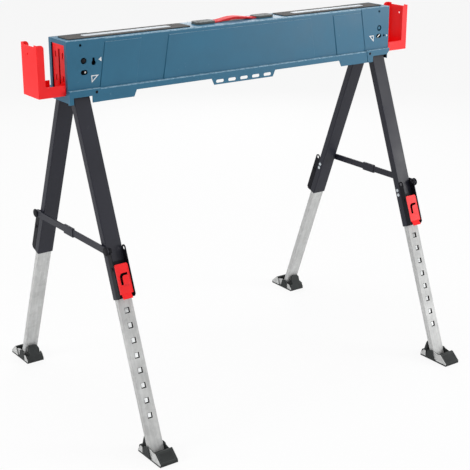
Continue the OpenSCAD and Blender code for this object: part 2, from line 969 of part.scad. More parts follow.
// A lock lever: face plate with a raised thumb pad, turned-out lip, two ears on the pivot pin and the tooth
module lock_lever(end, side) {
    tooth_reach = lever_back + tube_wall - tooth_gap;
    color("red")
        at_leg(end, side)
            down_leg()
                same_hand(end, side) {
                    translate([0, -lever_back - lever_t / 2, 0])
                        across_y(lever_t)
                            lever_face();
                    translate([0, -lever_out - thumb_rise / 2 + lever_t / 4, 0])
                        across_y(thumb_rise + lever_t / 2)
                            thumb_shape(lever_slot_w);
                    translate([(lip_right - lip_left) / 2, 0, 0])
                        outward_x(lip_left + lip_right)
                            polygon([
                                [lever_back, lever_low],
                                [lever_out, lever_low],
                                [lever_out + lip_reach, lever_low - lip_drop],
                                [lever_back + lip_reach, lever_low - lip_drop]
                            ]);
                    for (s = [left, right])
                        translate([s * (lever_w - lever_ear_t) / 2, 0, 0])
                            outward_x(lever_ear_t)
                                difference() {
                                    union() {
                                        translate([lever_pivot_out, lever_pivot_up])
                                            circle(r = lever_ear_r);
                                        translate([lever_pivot_out, lever_pivot_up - lever_ear_r])
                                            square([lever_back - lever_pivot_out, 2 * lever_ear_r]);
                                    }
                                    translate([lever_pivot_out, lever_pivot_up])
                                        circle(d = lever_pin_d + 2 * run_gap);
                                }
                    translate([-tooth_w / 2, -lever_back, tooth_up - tooth_h / 2])
                        cube([tooth_w, tooth_reach, tooth_h]);
                }
}

// The lever's pivot pin, and the bolt that holds the brace to the outer ear
module lock_pins(end, side) {
    pin_len = tube_w + 2 * seat_gap;
    color("silver")
        at_leg(end, side)
            down_leg()
                translate([0, -face_y, -upper_len]) {
                    translate([0, -lever_pivot_out, lever_pivot_up])
                        rotate([0, 90, 0]) {
                            cylinder(d = lever_pin_d, h = pin_len, center = true);
                            for (s = [left, right])
                                translate([0, 0, s * (pin_len + pin_head_t) / 2])
                                    cylinder(d = pin_head_d, h = pin_head_t, center = true);
                        }
                    translate([-tube_w / 2, -ear_out, ear_up])
                        rotate([0, -90, 0]) {
                            translate([0, 0, -lock_sheet - seat_gap - nut_t])
                                cylinder(d = bolt_d,
                                         h = nut_t + lock_sheet + brace_gap + brace_t + 2 * seat_gap);
                            translate([0, 0, -lock_sheet - seat_gap - nut_t])
                                cylinder(d = nut_d, h = nut_t, $fn = 6);
                            translate([0, 0, seat_gap])
                                cylinder(d = bolt_head_d, h = brace_gap - 2 * seat_gap);
                            translate([0, 0, brace_gap + brace_t + seat_gap])
                                cylinder(d = bolt_head_d, h = bolt_head_t);
                        }
                }
}

// The lever's return spring, wound close on the pivot pin
module lock_spring(end, side) {
    spring_d = lever_pin_d + 2 * spring_gap;
    spring_len = (lever_w - 2 * lever_ear_t) * spring_len_share;
    color("gray")
        at_leg(end, side)
            down_leg()
                translate([0, -face_y - lever_pivot_out, -upper_len + lever_pivot_up])
                    rotate([0, 90, 0])
                        difference() {
                            cylinder(d = spring_d + 2 * spring_wire, h = spring_len, center = true);
                            cylinder(d = spring_d, h = spring_len + over, center = true);
                        }
}

// A lower tube with its row of height holes
module lower_tube(end, side) {
    color("lightgray")
        at_leg(end, side)
            down_leg()
                difference() {
                    translate([0, 0, lower_low])
                        linear_extrude(height = lower_top - lower_low)
                            difference() {
                                polygon(rounded(lower_w, lower_t, tube_r));
                                square([lower_w - 2 * tube_wall, lower_t - 2 * tube_wall], center = true);
                            }
                    for (i = [0 : hole_count])
                        translate([0, -lower_t / 2, tooth_z - i * hole_pitch])
                            cube([hole_w, 2 * tube_wall + over, hole_h], center = true);
                    translate([0, 0, -pivot_down])
                        rotate([0, 90, 0])
                            cylinder(d = foot_pin_d + 2 * run_gap, h = tube_w, center = true);
                }
}

// The front left foot's own frame: origin on its pivot
module at_foot() {
    translate([-leg_x, -foot_y, foot_pivot_h])
        children();
}

// A foot plate: a base with two cheeks on the foot pin, and side plates along the toe and the heel
module foot_plate(end, side) {
    plate_w = 2 * (cheek_in + foot_sheet);
    plate_len = heel_back - plate_gap + toe_back - plate_gap;
    wing_w = (shoe_w - plate_w) / 2 + foot_sheet;
    wing_x = (shoe_w - wing_w) / 2;
    wing_y = -toe_back + toe_side / 2 + plate_gap;
    heel_wing = heel_back - plate_gap - heel_plate_in;
    color("lightgray")
        at_leg(end, side)
            at_foot()
                difference() {
                    union() {
                        translate([-plate_w / 2, -toe_back + plate_gap, sole_top])
                            cube([plate_w, plate_len, foot_sheet]);
                        for (s = [left, right])
                            translate([s * (cheek_in + foot_sheet / 2), 0, 0])
                                outward_x(foot_sheet) {
                                    polygon([
                                        [-cheek_back, sole_top],
                                        [-cheek_r, 0],
                                        [0, cheek_r],
                                        [cheek_r, cheek_r],
                                        [toe_back - plate_gap, cheek_tip_up],
                                        [toe_back - plate_gap, sole_top]
                                    ]);
                                    circle(r = cheek_r);
                                }
                        for (s = [left, right]) {
                            translate([s * (shoe_w - toe_sheet) / 2, 0, 0])
                                outward_x(toe_sheet)
                                    polygon([
                                        [toe_back - toe_side, sole_top],
                                        [toe_back - toe_side, sole_top + toe_low],
                                        [toe_back, toe_up],
                                        [toe_back + toe_flat, toe_up],
                                        [toe_out, sole_top + toe_low],
                                        [toe_out, sole_top]
                                    ]);
                            translate([s * wing_x, wing_y, sole_top + foot_sheet / 2])
                                cube([wing_w, toe_side, foot_sheet], center = true);
                            translate([s * (shoe_w - toe_sheet) / 2, 0, 0])
                                outward_x(toe_sheet)
                                    polygon([
                                        [-heel_in, sole_top],
                                        [-heel_in, sole_top + toe_low],
                                        [-heel_plate_top, heel_plate_up],
                                        [-heel_plate_in, heel_plate_up],
                                        [-heel_plate_in, sole_top]
                                    ]);
                            translate([s * wing_x, heel_plate_in + heel_wing / 2, sole_top + foot_sheet / 2])
                                cube([wing_w, heel_wing, foot_sheet], center = true);
                        }
                    }
                    rotate([0, 90, 0])
                        cylinder(d = foot_pin_d + 2 * run_gap, h = 2 * shoe_w, center = true);
                }
}

// The heel block's rounded outline seen from the inside
module heel_outline() {
    translate([-toe_w / 2, sole_top])
        square([toe_w, heel_low - sole_top]);
    translate([-heel_w / 2, sole_top])
        square([heel_w, heel_up - heel_r - sole_top]);
    translate([-heel_w / 2 + heel_r, sole_top])
        square([heel_w - 2 * heel_r, heel_up - sole_top]);
    for (s = [left, right])
        translate([s * (heel_w / 2 - heel_r), heel_up - heel_r])
            circle(r = heel_r);
}

// A foot shoe: sole, sloping toe block, rounded heel block and a hump over each end of the foot pin
module foot_shoe(end, side) {
    color("black")
        at_leg(end, side)
            at_foot() {
                translate([-shoe_w / 2, -toe_out, -foot_pivot_h])
                    cube([shoe_w, toe_out + heel_in, sole_t]);
                outward_x(toe_w)
                    polygon([
                        [toe_back, sole_top],
                        [toe_back, toe_up],
                        [toe_back + toe_flat, toe_up],
                        [toe_out, sole_top + toe_low],
                        [toe_out, sole_top]
                    ]);
                difference() {
                    translate([0, heel_back + heel_len / 2, 0])
                        across_y(heel_len)
                            heel_outline();
                    outward_x(shoe_w + over)
                        polygon([
                            [-heel_in - over, sole_top + toe_low],
                            [-heel_in, sole_top + toe_low],
                            [-heel_back - heel_t, heel_up],
                            [-heel_back - heel_t, heel_up + over],
                            [-heel_in - over, heel_up + over]
                        ]);
                }
                for (s = [left, right])
                    translate([s * (shoe_w - shoe_wall) / 2, 0, 0])
                        outward_x(shoe_wall)
                            polygon([
                                [-shoe_cheek_in, sole_top],
                                [-shoe_cheek_in, sole_top + rim_h],
                                [-shoe_cheek_out, shoe_cheek_top],
                                [-shoe_cheek_top, shoe_cheek_up],
                                [shoe_cheek_top / 2, shoe_cheek_up],
                                [shoe_cheek_top, shoe_cheek_top],
                                [shoe_cheek_out, sole_top + rim_h],
                                [shoe_cheek_out, sole_top]
                            ]);
            }
}

// A foot pin, with a flat head outside each cheek
module foot_pin(end, side) {
    pin_len = 2 * (cheek_in + foot_sheet) + 2 * run_gap;
    color("silver")
        at_leg(end, side)
            at_foot()
                rotate([0, 90, 0]) {
                    cylinder(d = foot_pin_d, h = pin_len, center = true);
                    for (s = [left, right])
                        translate([0, 0, s * (pin_len + foot_head_t) / 2])
                            cylinder(d = foot_head_d, h = foot_head_t, center = true);
                }
}

// A brace bar from its bolt to inner_y, level, beside the legs' outer faces
module brace_shape(inner_y) {
    difference() {
        union() {
            circle(d = brace_h);
            polygon([
                [0, -brace_h / 2],
                [0, brace_h / 2],
                [inner_y - brace_y, brace_h / 2],
                [inner_y - brace_y, -brace_h / 2]
            ]);
        }
        circle(d = bolt_d + 2 * run_gap);
    }
}

module brace_bar(end, side, inner_y) {
    color("dimgray")
        at_leg(end, side)
            translate([-brace_x - brace_t / 2, -brace_y, brace_z])
                outward_x(brace_t)
                    brace_shape(inner_y);
}

// The collar over the joint of a brace, on the back bar
module brace_collar(end) {
    color("black")
        at_leg(end, front)
            translate([-brace_x - brace_t / 2, collar_len / 2 - collar_end, brace_z])
                rotate([90, 0, 0])
                    linear_extrude(height = collar_len, center = true)
                        difference() {
                            polygon(rounded(brace_t + 2 * collar_wall, collar_h, collar_wall));
                            square([brace_t, brace_h], center = true);
                        }
}

front_bar_end = collar_end + joint_gap;
back_bar_end = bar_tuck - collar_end;

beam_shell();
left_end_sleeve();
right_end_sleeve();
left_hinge_bracket();
right_hinge_bracket();
hinge_pins();
left_top_pad();
right_top_pad();
left_wear_strip();
right_wear_strip();
carry_strap();
left_strap_clip();
right_strap_clip();
beam_fasteners();
left_timber_support();
right_timber_support();
left_support_arms();
right_support_arms();
upper_tube(left, front);  // front_left_upper_tube
upper_tube(left, back);  // back_left_upper_tube
upper_tube(right, front);  // front_right_upper_tube
upper_tube(right, back);  // back_right_upper_tube
lock_bracket(left, front);  // front_left_lock_bracket
lock_bracket(left, back);  // back_left_lock_bracket
lock_bracket(right, front);  // front_right_lock_bracket
lock_bracket(right, back);  // back_right_lock_bracket
lock_lever(left, front);  // front_left_lock_lever
lock_lever(left, back);  // back_left_lock_lever
lock_lever(right, front);  // front_right_lock_lever
lock_lever(right, back);  // back_right_lock_lever
lock_pins(left, front);  // front_left_lock_pins
lock_pins(left, back);  // back_left_lock_pins
lock_pins(right, front);  // front_right_lock_pins
lock_pins(right, back);  // back_right_lock_pins
lock_spring(left, front);  // front_left_lock_spring
lock_spring(left, back);  // back_left_lock_spring
lock_spring(right, front);  // front_right_lock_spring
lock_spring(right, back);  // back_right_lock_spring
lower_tube(left, front);  // front_left_lower_tube
lower_tube(left, back);  // back_left_lower_tube
lower_tube(right, front);  // front_right_lower_tube
lower_tube(right, back);  // back_right_lower_tube
foot_plate(left, front);  // front_left_foot_plate
foot_plate(left, back);  // back_left_foot_plate
foot_plate(right, front);  // front_right_foot_plate
foot_plate(right, back);  // back_right_foot_plate
foot_shoe(left, front);  // front_left_foot_shoe
foot_shoe(left, back);  // back_left_foot_shoe
foot_shoe(right, front);  // front_right_foot_shoe
foot_shoe(right, back);  // back_right_foot_shoe
foot_pin(left, front);  // front_left_foot_pin
foot_pin(left, back);  // back_left_foot_pin
foot_pin(right, front);  // front_right_foot_pin
foot_pin(right, back);  // back_right_foot_pin
brace_bar(left, front, front_bar_end);  // front_left_brace_bar
brace_bar(left, back, back_bar_end);  // back_left_brace_bar
brace_bar(right, front, front_bar_end);  // front_right_brace_bar
brace_bar(right, back, back_bar_end);  // back_right_brace_bar
brace_collar(left);  // left_brace_collar
brace_collar(right);  // right_brace_collar
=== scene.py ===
import json
import math

import bmesh
import bpy
from mathutils import Matrix, Vector


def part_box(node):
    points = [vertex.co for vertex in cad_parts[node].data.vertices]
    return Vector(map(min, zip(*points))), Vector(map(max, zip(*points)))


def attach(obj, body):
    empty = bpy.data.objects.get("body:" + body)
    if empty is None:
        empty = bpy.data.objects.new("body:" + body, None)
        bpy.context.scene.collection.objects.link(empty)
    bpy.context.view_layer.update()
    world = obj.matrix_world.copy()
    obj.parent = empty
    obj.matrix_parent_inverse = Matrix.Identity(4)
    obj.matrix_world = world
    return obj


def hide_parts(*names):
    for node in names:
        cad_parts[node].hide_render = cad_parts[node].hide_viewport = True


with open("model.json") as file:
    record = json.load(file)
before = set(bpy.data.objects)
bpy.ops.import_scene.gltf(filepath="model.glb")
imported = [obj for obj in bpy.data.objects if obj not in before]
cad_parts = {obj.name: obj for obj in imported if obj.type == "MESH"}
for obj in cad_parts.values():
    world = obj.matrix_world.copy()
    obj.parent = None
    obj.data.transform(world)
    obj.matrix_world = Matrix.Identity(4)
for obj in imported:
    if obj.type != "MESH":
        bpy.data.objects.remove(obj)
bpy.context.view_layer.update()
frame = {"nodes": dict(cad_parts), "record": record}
scene = bpy.context.scene
nodes = frame["nodes"]
print("frame loaded:", len(nodes), "nodes")


# shared effects; each group gives a colour, a roughness and a height for the bump

def newGroup(name, inputs):
    group = bpy.data.node_groups.new(name, "ShaderNodeTree")
    for label, kind, value in inputs:
        socket = group.interface.new_socket(label, in_out="INPUT", socket_type=kind)
        socket.default_value = value
    for label, kind in (("Colour", "Color"), ("Roughness", "Float"), ("Height", "Float")):
        group.interface.new_socket(label, in_out="OUTPUT", socket_type="NodeSocket" + kind)
    return group, group.nodes.new("NodeGroupInput"), group.nodes.new("NodeGroupOutput")


def closeGroup(group, end, colour, rough, height):
    for label, source in (("Colour", colour), ("Roughness", rough), ("Height", height)):
        group.links.new(source, end.inputs[label])
    return group


def addNode(tree, kind, values=None, **settings):
    node = tree.nodes.new(kind)
    for key, value in settings.items():
        setattr(node, key, value)
    for key, value in (values or {}).items():
        node.inputs[key].default_value = value
    return node


def feed(tree, node, place, value):
    if isinstance(value, bpy.types.NodeSocket):
        tree.links.new(value, node.inputs[place])
    else:
        node.inputs[place].default_value = value


# a Map Range node's first inputs are the value, the range it comes from and the range it goes to
def remap(tree, source, low, high, outLow, outHigh):
    node = addNode(tree, "ShaderNodeMapRange", {1: low, 2: high, 3: outLow, 4: outHigh})
    tree.links.new(source, node.inputs[0])
    return node.outputs[0]


mixPlaces = {"factor": 0, "first": 6, "second": 7, "result": 2}


def mixColour(tree, factor, first, second):
    node = addNode(tree, "ShaderNodeMix", data_type="RGBA", blend_type="MIX")
    for label, value in (("factor", factor), ("first", first), ("second", second)):
        feed(tree, node, mixPlaces[label], value)
    return node.outputs[mixPlaces["result"]]


def calc(tree, operation, *values):
    node = addNode(tree, "ShaderNodeMath", operation=operation)
    for place, value in enumerate(values):
        feed(tree, node, place, value)
    return node.outputs[0]


def shaded(tree, colour, shade):
    tone = addNode(tree, "ShaderNodeVectorMath", operation="SCALE")
    tree.links.new(colour, tone.inputs[0])
    tree.links.new(shade, tone.inputs["Scale"])
    return tone.outputs[0]


# powder coat: soft cloudy tone, fine orange peel, edges in the edge colour, which are rubbed edges and a painted
# highlight, and a few light scuffs
def coatGroup():
    group, start, end = newGroup("powderCoat", [
        ("Colour", "NodeSocketColor", (0.5, 0.5, 0.5, 1)),
        ("Edge Colour", "NodeSocketColor", (0.7, 0.7, 0.7, 1)),
        ("Edge Rub And Highlight", "NodeSocketFloat", 0.5),
        ("Cloud", "NodeSocketFloat", 0.12),
        ("Peel Scale", "NodeSocketFloat", 900.0),
        ("Shine", "NodeSocketFloat", 0.4),
    ])
    place = addNode(group, "ShaderNodeTexCoord").outputs["Object"]
    cloud = addNode(group, "ShaderNodeTexNoise", {"Scale": 9.0, "Detail": 4.0, "Roughness": 0.6})
    peel = addNode(group, "ShaderNodeTexNoise", {"Detail": 2.0, "Roughness": 0.5})
    scuff = addNode(group, "ShaderNodeTexNoise", {"Scale": 60.0, "Detail": 6.0, "Roughness": 0.7})
    rubAndHighlight = addNode(group, "ShaderNodeTexNoise", {"Scale": 130.0, "Detail": 5.0, "Roughness": 0.65})
    for node in (cloud, peel, scuff, rubAndHighlight):
        group.links.new(place, node.inputs["Vector"])
    group.links.new(start.outputs["Peel Scale"], peel.inputs["Scale"])
    # the edge mask takes the edge colour: rubbed edges, and a painted highlight on marked bends, rims and broken
    # edges
    edge = addNode(group, "ShaderNodeAttribute", attribute_name="edgeMask").outputs["Fac"]
    edgeRubAndHighlight = calc(group, "MULTIPLY", edge, remap(group, rubAndHighlight.outputs["Fac"], 0.35, 0.62, 0.25, 1.0))
    edgeRubAndHighlight = calc(group, "MULTIPLY", edgeRubAndHighlight, start.outputs["Edge Rub And Highlight"])
    shade = remap(group, cloud.outputs["Fac"], 0.3, 0.7, -1.0, 1.0)
    shade = calc(group, "ADD", calc(group, "MULTIPLY", shade, start.outputs["Cloud"]), 1.0)
    tone = shaded(group, start.outputs["Colour"], shade)
    marks = remap(group, scuff.outputs["Fac"], 0.66, 0.78, 0.0, 0.22)
    colour = mixColour(group, marks, tone, start.outputs["Edge Colour"])
    colour = mixColour(group, edgeRubAndHighlight, colour, start.outputs["Edge Colour"])
    uneven = remap(group, cloud.outputs["Fac"], 0.3, 0.7, -0.06, 0.08)
    rough = calc(group, "ADD", start.outputs["Shine"], uneven)
    rough = calc(group, "ADD", rough, calc(group, "MULTIPLY", marks, 0.6))
    return closeGroup(group, end, colour, rough, peel.outputs["Fac"])


# zinc: crystal patches, drawn streaks along one direction and dull smears; above a given height it can be painted
# near black as shade
def zincGroup():
    group, start, end = newGroup("zincSkin", [
        ("Colour", "NodeSocketColor", (0.6, 0.6, 0.6, 1)),
        ("Patch Scale", "NodeSocketFloat", 90.0),
        ("Patch", "NodeSocketFloat", 0.12),
        ("Streak", "NodeSocketFloat", 0.12),
        ("Shine", "NodeSocketFloat", 0.4),
        ("Dark Above", "NodeSocketFloat", 10.0),
    ])
    place = addNode(group, "ShaderNodeTexCoord").outputs["Object"]
    patch = addNode(group, "ShaderNodeTexVoronoi", {"Randomness": 1.0})
    group.links.new(place, patch.inputs["Vector"])
    group.links.new(start.outputs["Patch Scale"], patch.inputs["Scale"])
    tint = addNode(group, "ShaderNodeSeparateColor")
    group.links.new(patch.outputs["Color"], tint.inputs[0])
    stretch = addNode(group, "ShaderNodeMapping", {"Scale": (1.0, 0.12, 0.05)})
    group.links.new(place, stretch.inputs["Vector"])
    streak = addNode(group, "ShaderNodeTexNoise", {"Scale": 220.0, "Detail": 4.0, "Roughness": 0.6})
    group.links.new(stretch.outputs[0], streak.inputs["Vector"])
    smear = addNode(group, "ShaderNodeTexNoise", {"Scale": 16.0, "Detail": 5.0, "Roughness": 0.6})
    group.links.new(place, smear.inputs["Vector"])
    cells = remap(group, tint.outputs[0], 0.0, 1.0, -1.0, 1.0)
    cells = calc(group, "MULTIPLY", cells, start.outputs["Patch"])
    lines = remap(group, streak.outputs["Fac"], 0.3, 0.7, -1.0, 1.0)
    lines = calc(group, "MULTIPLY", lines, start.outputs["Streak"])
    dull = remap(group, smear.outputs["Fac"], 0.35, 0.7, 0.08, -0.1)
    shade = calc(group, "ADD", calc(group, "ADD", cells, lines), calc(group, "ADD", dull, 1.0))
    split = addNode(group, "ShaderNodeSeparateXYZ")
    group.links.new(place, split.inputs[0])
    lit = calc(group, "LESS_THAN", split.outputs["Z"], start.outputs["Dark Above"])
    shade = calc(group, "MULTIPLY", shade, remap(group, lit, 0.0, 1.0, 0.02, 1.0))
    tone = shaded(group, start.outputs["Colour"], shade)
    uneven = remap(group, smear.outputs["Fac"], 0.3, 0.7, -0.08, 0.12)
    rough = calc(group, "ADD", start.outputs["Shine"], uneven)
    rough = calc(group, "ADD", rough, calc(group, "MULTIPLY", cells, 0.6))
    return closeGroup(group, end, tone, rough, streak.outputs["Fac"])


# moulded plastic and rubber: fine pebble, dusty bloom and pale edges, which are partly rubbed and partly a painted
# highlight
def mouldGroup():
    group, start, end = newGroup("mouldSkin", [
        ("Colour", "NodeSocketColor", (0.1, 0.1, 0.1, 1)),
        ("Haze And Highlight Colour", "NodeSocketColor", (0.4, 0.4, 0.4, 1)),
        ("Haze And Highlight", "NodeSocketFloat", 0.2),
        ("Pebble Scale", "NodeSocketFloat", 700.0),
        ("Shine", "NodeSocketFloat", 0.6),
    ])
    place = addNode(group, "ShaderNodeTexCoord").outputs["Object"]
    pebble = addNode(group, "ShaderNodeTexVoronoi", {"Randomness": 1.0})
    dust = addNode(group, "ShaderNodeTexNoise", {"Scale": 35.0, "Detail": 6.0, "Roughness": 0.65})
    for node in (pebble, dust):
        group.links.new(place, node.inputs["Vector"])
    group.links.new(start.outputs["Pebble Scale"], pebble.inputs["Scale"])
    edge = addNode(group, "ShaderNodeAttribute", attribute_name="edgeMask").outputs["Fac"]
    hazeAndHighlight = remap(group, dust.outputs["Fac"], 0.4, 0.75, 0.0, 1.0)
    # the marked edges are added as a painted highlight
    hazeAndHighlight = calc(group, "ADD", hazeAndHighlight, calc(group, "MULTIPLY", edge, 0.8))
    hazeAndHighlight = calc(group, "MULTIPLY", hazeAndHighlight, start.outputs["Haze And Highlight"])
    colour = mixColour(group, hazeAndHighlight, start.outputs["Colour"], start.outputs["Haze And Highlight Colour"])
    rough = calc(group, "ADD", start.outputs["Shine"], calc(group, "MULTIPLY", hazeAndHighlight, 0.4))
    return closeGroup(group, end, colour, rough, pebble.outputs["Distance"])


groups = {"coat": coatGroup(), "zinc": zincGroup(), "mould": mouldGroup()}
print("effects made:", ", ".join(groups))


def finishMaterial(name, effect, values, metallic=0.0, bump=0.1, bumpDepth=0.0002, gloss=0.35, glow=0.0):
    material = bpy.data.materials.new(name)
    material.use_nodes = True
    tree = material.node_tree
    shader = tree.nodes["Principled BSDF"]
    skin = addNode(tree, "ShaderNodeGroup", node_tree=groups[effect])
    for key, value in values.items():
        skin.inputs[key].default_value = value
    tree.links.new(skin.outputs["Colour"], shader.inputs["Base Color"])
    tree.links.new(skin.outputs["Roughness"], shader.inputs["Roughness"])
    relief = addNode(tree, "ShaderNodeBump", {"Strength": bump, "Distance": bumpDepth})
    tree.links.new(skin.outputs["Height"], relief.inputs["Height"])
    tree.links.new(relief.outputs["Normal"], shader.inputs["Normal"])
    shader.inputs["Metallic"].default_value = metallic
    shader.inputs["Specular IOR Level"].default_value = gloss
    if glow:
        tree.links.new(skin.outputs["Colour"], shader.inputs["Emission Color"])
        shader.inputs["Emission Strength"].default_value = glow
    return material


finishes = {
    # the edge colours below show rubbed edges and a painted highlight; the pale blue one paints the light on the
    # beam's bends
    "blue_paint": finishMaterial("bluePaint", "coat", {
        "Colour": (0.021, 0.137, 0.237, 1), "Edge Colour": (0.34, 0.52, 0.64, 1), "Edge Rub And Highlight": 0.9,
        "Cloud": 0.07, "Peel Scale": 900.0, "Shine": 0.4}, gloss=0.3),
    "slate_paint": finishMaterial("slatePaint", "coat", {
        "Colour": (0.0135, 0.0142, 0.023, 1), "Edge Colour": (0.1, 0.105, 0.125, 1), "Edge Rub And Highlight": 0.5,
        "Cloud": 0.14, "Peel Scale": 1100.0, "Shine": 0.44}, gloss=0.28),
    "black_steel": finishMaterial("blackSteel", "coat", {
        "Colour": (0.007, 0.007, 0.01, 1), "Edge Colour": (0.075, 0.077, 0.085, 1), "Edge Rub And Highlight": 0.5,
        "Cloud": 0.16, "Peel Scale": 1100.0, "Shine": 0.5}, gloss=0.12),
    "red_paint": finishMaterial("redPaint", "coat", {
        "Colour": (1.0, 0.013, 0.016, 1), "Edge Colour": (0.95, 0.2, 0.2, 1), "Edge Rub And Highlight": 0.6,
        "Cloud": 0.05, "Peel Scale": 900.0, "Shine": 0.42}, gloss=0.25),
    "galvanised": finishMaterial("galvanised", "zinc", {
        "Colour": (0.53, 0.535, 0.53, 1), "Patch Scale": 110.0, "Patch": 0.06, "Streak": 0.1, "Shine": 0.6},
        metallic=0.15, bump=0.05, bumpDepth=0.0001, gloss=0.4),
    "zinc_steel": finishMaterial("zincSteel", "zinc", {
        "Colour": (0.45, 0.45, 0.44, 1), "Patch Scale": 300.0, "Patch": 0.08, "Streak": 0.1, "Shine": 0.36},
        metallic=0.9, bump=0.05, bumpDepth=0.0001, gloss=0.5),
    "red_plastic": finishMaterial("redPlastic", "mould", {
        "Colour": (0.74, 0.014, 0.02, 1), "Haze And Highlight Colour": (0.95, 0.32, 0.33, 1), "Haze And Highlight": 0.22,
        "Pebble Scale": 900.0, "Shine": 0.5}, gloss=0.15),
    "grey_plastic": finishMaterial("greyPlastic", "mould", {
        "Colour": (0.07, 0.08, 0.078, 1), "Haze And Highlight Colour": (0.26, 0.28, 0.27, 1), "Haze And Highlight": 0.3,
        "Pebble Scale": 800.0, "Shine": 0.55}),
    "strip_plastic": finishMaterial("stripPlastic", "mould", {
        "Colour": (0.6, 0.65, 0.69, 1), "Haze And Highlight Colour": (0.45, 0.47, 0.48, 1), "Haze And Highlight": 0.3,
        "Pebble Scale": 600.0, "Shine": 0.5}),
    "grip_rubber": finishMaterial("gripRubber", "mould", {
        "Colour": (0.045, 0.042, 0.039, 1), "Haze And Highlight Colour": (0.13, 0.125, 0.12, 1), "Haze And Highlight": 0.35,
        "Pebble Scale": 420.0, "Shine": 0.72}, bump=0.35, bumpDepth=0.0006),
    "shoe_rubber": finishMaterial("shoeRubber", "mould", {
        "Colour": (0.008, 0.01, 0.01, 1), "Haze And Highlight Colour": (0.1, 0.11, 0.11, 1), "Haze And Highlight": 0.25,
        "Pebble Scale": 700.0, "Shine": 0.6}),
}
# inside of the lower tubes: a painted light, as the pale walls glow faintly though no lamp is inside, and above 0.305
# m they are painted near black as shade
tubeInsideSelfLit = finishMaterial("tubeInsideSelfLit", "zinc", {
    "Colour": (0.86, 0.87, 0.87, 1), "Patch Scale": 110.0, "Patch": 0.04, "Streak": 0.05, "Shine": 0.6,
    "Dark Above": 0.305}, bump=0.05, bumpDepth=0.0001, glow=0.3)
# near black painted shade for slot walls and for the cut sides and collars of the height holes
slotShade = finishMaterial("slotShade", "mould", {
    "Colour": (0.006, 0.004, 0.004, 1), "Haze And Highlight Colour": (0.03, 0.015, 0.015, 1), "Haze And Highlight": 0.3,
    "Pebble Scale": 900.0, "Shine": 0.7}, gloss=0.1)
markMaterial = finishMaterial("whiteMark", "mould", {
    "Colour": (0.82, 0.84, 0.85, 1), "Haze And Highlight Colour": (0.5, 0.58, 0.64, 1), "Haze And Highlight": 0.3,
    "Pebble Scale": 500.0, "Shine": 0.5})
print("finishes made:", len(finishes))


# copies of the CAD pieces with rounded bends and broken edges; lengths in metres, angles in degrees

pieceSettings = {
    "weld": 0.00002, "flatAngle": 0.6, "sharpAngle": 35, "smoothAngle": 40,
    "breakSteps": 2, "plainRubAndHighlight": 1.0, "foldedRubAndHighlight": 0.6,
}


def openCopy(nodeName):
    mesh = bmesh.new()
    mesh.from_mesh(nodes[nodeName].data)
    bmesh.ops.remove_doubles(mesh, verts=mesh.verts, dist=pieceSettings["weld"])
    flat = math.radians(pieceSettings["flatAngle"])
    bmesh.ops.dissolve_limit(mesh, angle_limit=flat, verts=mesh.verts, edges=mesh.edges)
    return mesh


def sharpEdges(mesh, angle):
    least = math.radians(angle)
    return [e for e in mesh.edges if len(e.link_faces) == 2 and e.calc_face_angle(0) > least]


def middleOf(edge):
    return (edge.verts[0].co + edge.verts[1].co) / 2


def wayOf(edge):
    return edge.verts[1].co - edge.verts[0].co


def roundEdges(mesh, edges, width, steps):
    if not edges:
        return []
    done = bmesh.ops.bevel(mesh, geom=edges, offset=width, offset_type="OFFSET", segments=steps, profile=0.5,
                           affect="EDGES", clamp_overlap=True, material=-1, loop_slide=True)
    return done["faces"]


def markEdges(mesh, faces, strength):
    layer = mesh.faces.layers.float.get("edgeMask") or mesh.faces.layers.float.new("edgeMask")
    for face in faces:
        if face.is_valid:
            face[layer] = strength


def closePiece(mesh, name, body, slotName, replaced=(), material=None, others=()):
    data = bpy.data.meshes.new(name)
    mesh.to_mesh(data)
    mesh.free()
    data.materials.append(material or finishes[slotName])
    for other in others:
        data.materials.append(other)
    data.shade_smooth()
    data.set_sharp_from_angle(angle=math.radians(pieceSettings["smoothAngle"]))
    piece = bpy.data.objects.new(name, data)
    scene.collection.objects.link(piece)
    even = piece.modifiers.new("evenNormals", "WEIGHTED_NORMAL")
    even.keep_sharp = True
    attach(piece, body)
    if replaced:
        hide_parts(*replaced)
    return piece


behaviour = frame["record"]["behaviour"]
slotOf = {row["node"]: row["material_slot"] for row in frame["record"]["subparts"]}
bodyOf = {name: body for body, names in behaviour["bodies"].items() for name in names}
jointOf = {row["name"]: row for row in behaviour["joints"]}
legNames = ["front_left", "back_left", "front_right", "back_right"]

# width of the broken edges of each kind of piece
breakWidth = {
    "upper_tube": 0.0004, "lock_bracket": 0.0005, "lock_lever": 0.0006, "lock_pins": 0.0005, "lock_spring": 0.0002,
    "lower_tube": 0.0003, "foot_plate": 0.0004, "foot_shoe": 0.0009, "foot_pin": 0.0004, "brace_bar": 0.0007,
    "beam_shell": 0.0003, "end_sleeve": 0.0003, "hinge_bracket": 0.0006, "hinge_pins": 0.0006, "top_pad": 0.0006,
    "wear_strip": 0.0005, "carry_strap": 0.0007, "strap_clip": 0.0012, "beam_fasteners": 0.0004,
    "timber_support": 0.0005, "support_arms": 0.0004, "brace_collar": 0.0003,
}


def kindOf(nodeName):
    return next(kind for kind in breakWidth if nodeName.endswith(kind))


def legOf(nodeName):
    return next((leg for leg in legNames if nodeName.startswith(leg)), None)


def legSide(leg):
    return -1 if leg.startswith("front") else 1


def legUp(leg):
    return Vector(jointOf[leg + "_draw_in"]["axis"]).normalized()


# square to the leg, away from the beam's middle
def legOut(leg):
    up = legUp(leg)
    side = Vector((0, legSide(leg), 0))
    return (side - up * side.dot(up)).normalized()


def near(value, place, room):
    return abs(value - place) < room


